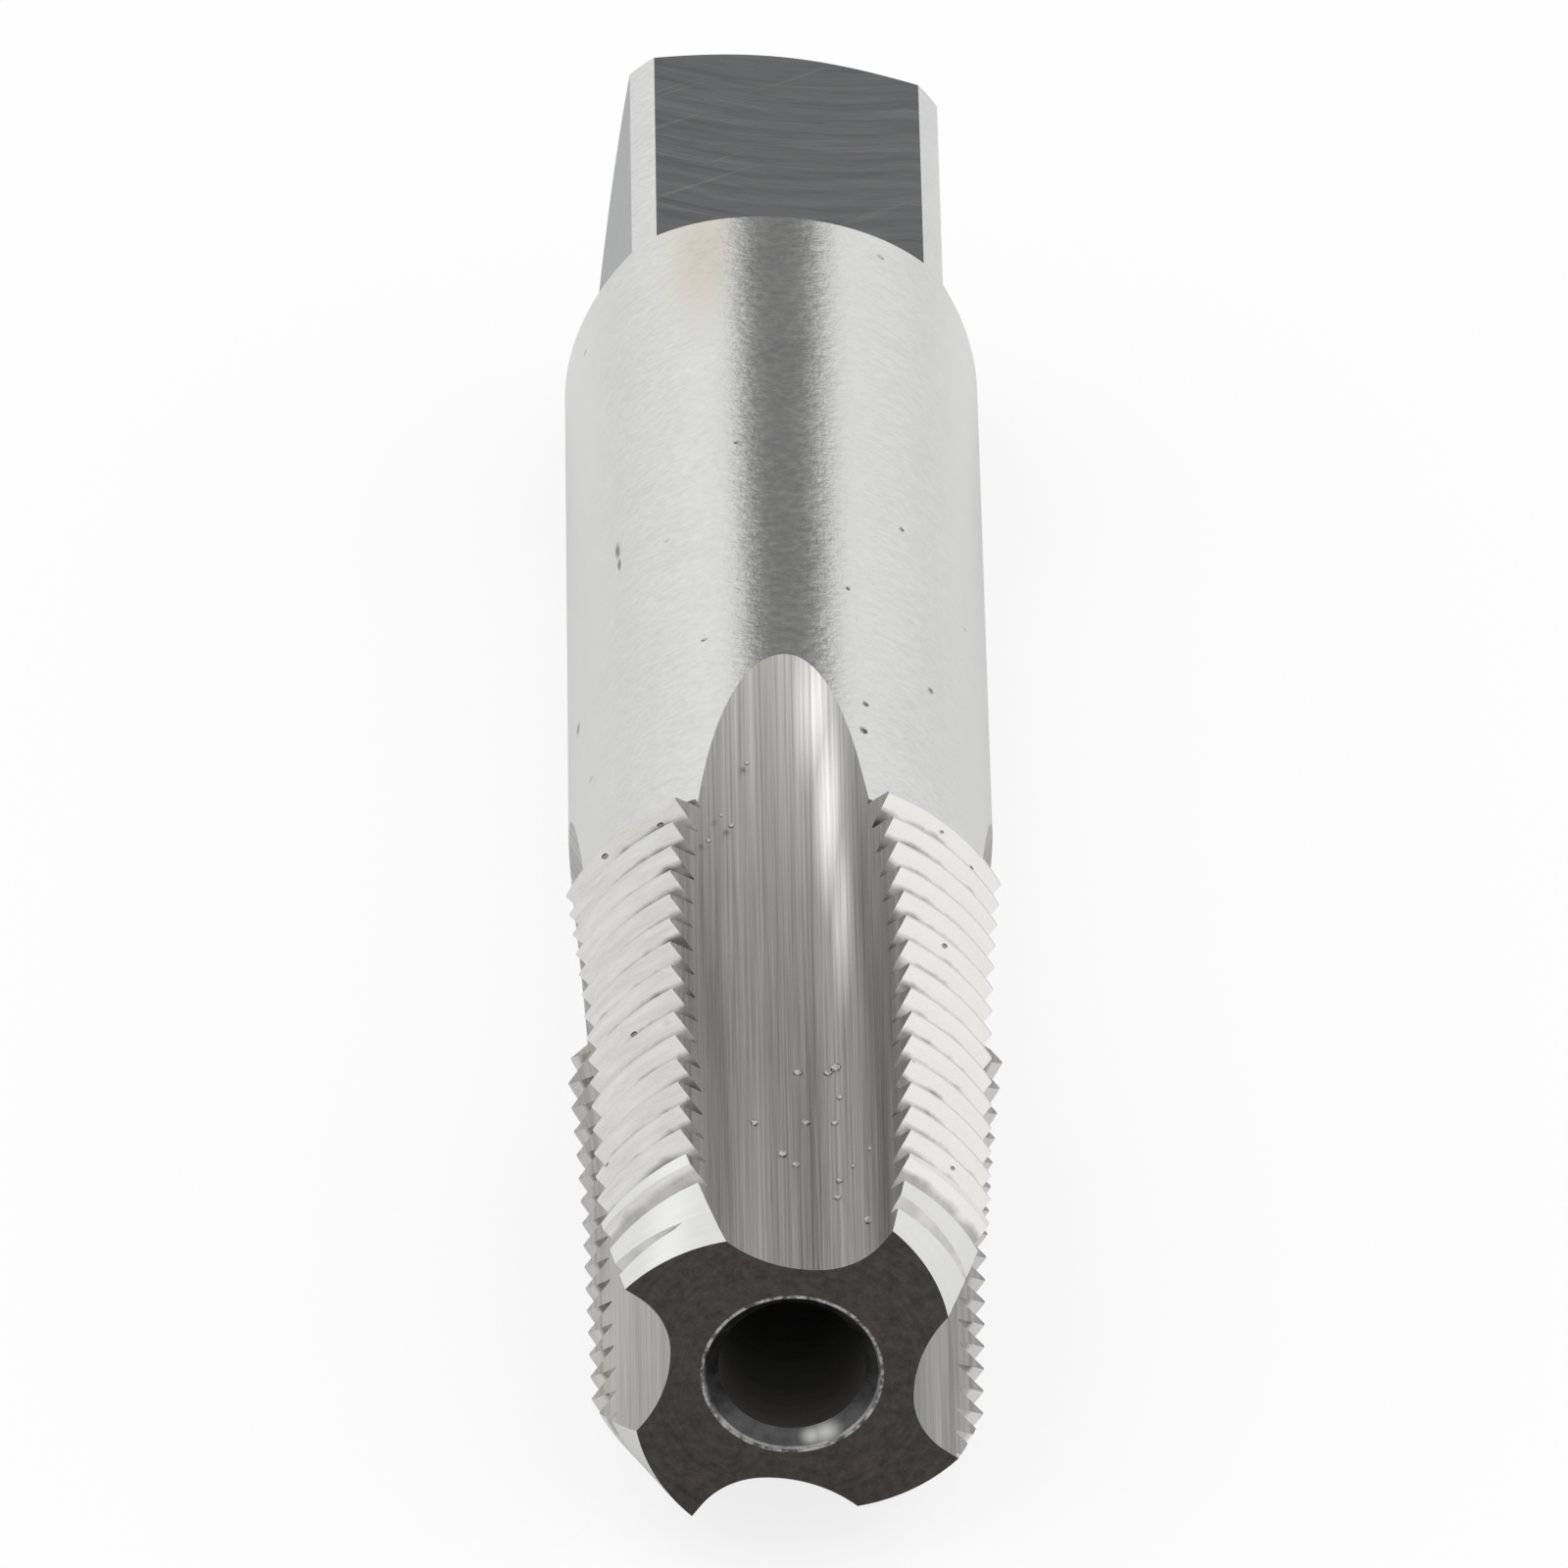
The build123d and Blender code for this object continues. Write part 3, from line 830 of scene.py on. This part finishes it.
paper = wire(tree, "ShaderNodeMixShader", fac=seen)
tree.links.new(shader.outputs[0], paper.inputs[1])
tree.links.new(white.outputs[0], paper.inputs[2])
tree.links.new(paper.outputs[0], tree.nodes["Material Output"].inputs["Surface"])
floor_mesh.materials.append(table_paper)


# Light: a white tent all round, a little brighter in a bank ahead and in one patch high on
# the left. A soft dark gap behind the tap is what its polished top reflects. Widths are
# measured sideways for each unit ahead, and heights as the Z of the direction.
tent_colour = (1.0, 1.0, 1.0)
bank_colour = (1.17, 1.17, 1.16)
bank_reach = (0.42, 0.60)
high_light_colour = (1.55, 1.55, 1.55)
high_light_middle = (-0.55, 0.47, 0.68)
high_light_reach = (0.38, 0.38, 0.38)
gap_colour = (0.235, 0.235, 0.24)
gap_side = 0.05
gap_half_width = (0.13, 0.31)
gap_top = (0.60, 0.84)
least_ahead = 0.001

studio = bpy.data.worlds.new("studio")
bpy.context.scene.world = studio
studio.use_nodes = True
tree = studio.node_tree
sight = tree.nodes.new("ShaderNodeTexCoord").outputs["Generated"]
x, y, z = split(tree, sight)
aside = sum_of(tree, "DIVIDE", x, sum_of(tree, "MAXIMUM", y, least_ahead))
bank = faded(tree, sum_of(tree, "ABSOLUTE", aside), *bank_reach)
tent = tinted(tree, bank, tent_colour, bank_colour)
high_light = shade_group(tree, one_mark, place=sight, middle=high_light_middle,
                         reach=high_light_reach)["Mark"]
tent = tinted(tree, high_light, tent, high_light_colour)
off_gap = sum_of(tree, "ABSOLUTE", sum_of(tree, "SUBTRACT", aside, gap_side))
gap = sum_of(tree, "MULTIPLY", faded(tree, off_gap, *gap_half_width), faded(tree, z, *gap_top))
tree.links.new(tinted(tree, gap, tent, gap_colour), tree.nodes["Background"].inputs["Color"])


# Camera: the photograph's long lens, a little under a metre away, looking down along the tap
# from its front end. Distances are in mm from the middle of the front face, the angle of
# sight is down from level, and the lens is measured in pixels of the photograph.
sight_angle = radians(30.42)
roll = radians(1.25)
turn = radians(rest_turn)
offset_right = 0.26
offset_up = -18.852
distance = 869.5
focal_px = 27773
frame_px = 1600
sensor_width = 36
nearest_seen = 0.01
farthest_seen = 100

photo_x = Vector((cos(turn), 0, sin(turn)))
photo_y = Vector((0, 1, 0))
photo_z = Vector((-sin(turn), 0, cos(turn)))
forward = photo_y * cos(sight_angle) - photo_z * sin(sight_angle)
upright = photo_y * sin(sight_angle) + photo_z * cos(sight_angle)
right = photo_x * cos(roll) - upright * sin(roll)
up = photo_x * sin(roll) + upright * cos(roll)
face_centre = Vector((0, front_end, axis_height))
stand = face_centre - right * offset_right - up * offset_up - forward * distance
camera_data = bpy.data.cameras.new("camera")
camera = bpy.data.objects.new("camera", camera_data)
bpy.context.scene.collection.objects.link(camera)
camera_data.sensor_width = sensor_width
camera_data.lens = focal_px / frame_px * sensor_width
camera_data.clip_start = nearest_seen
camera_data.clip_end = farthest_seen
camera.matrix_world = Matrix.Translation(stand * mm) @ Matrix((right, up, -forward)).transposed().to_4x4()
bpy.context.scene.camera = camera
bpy.context.scene.view_settings.view_transform = "Standard"
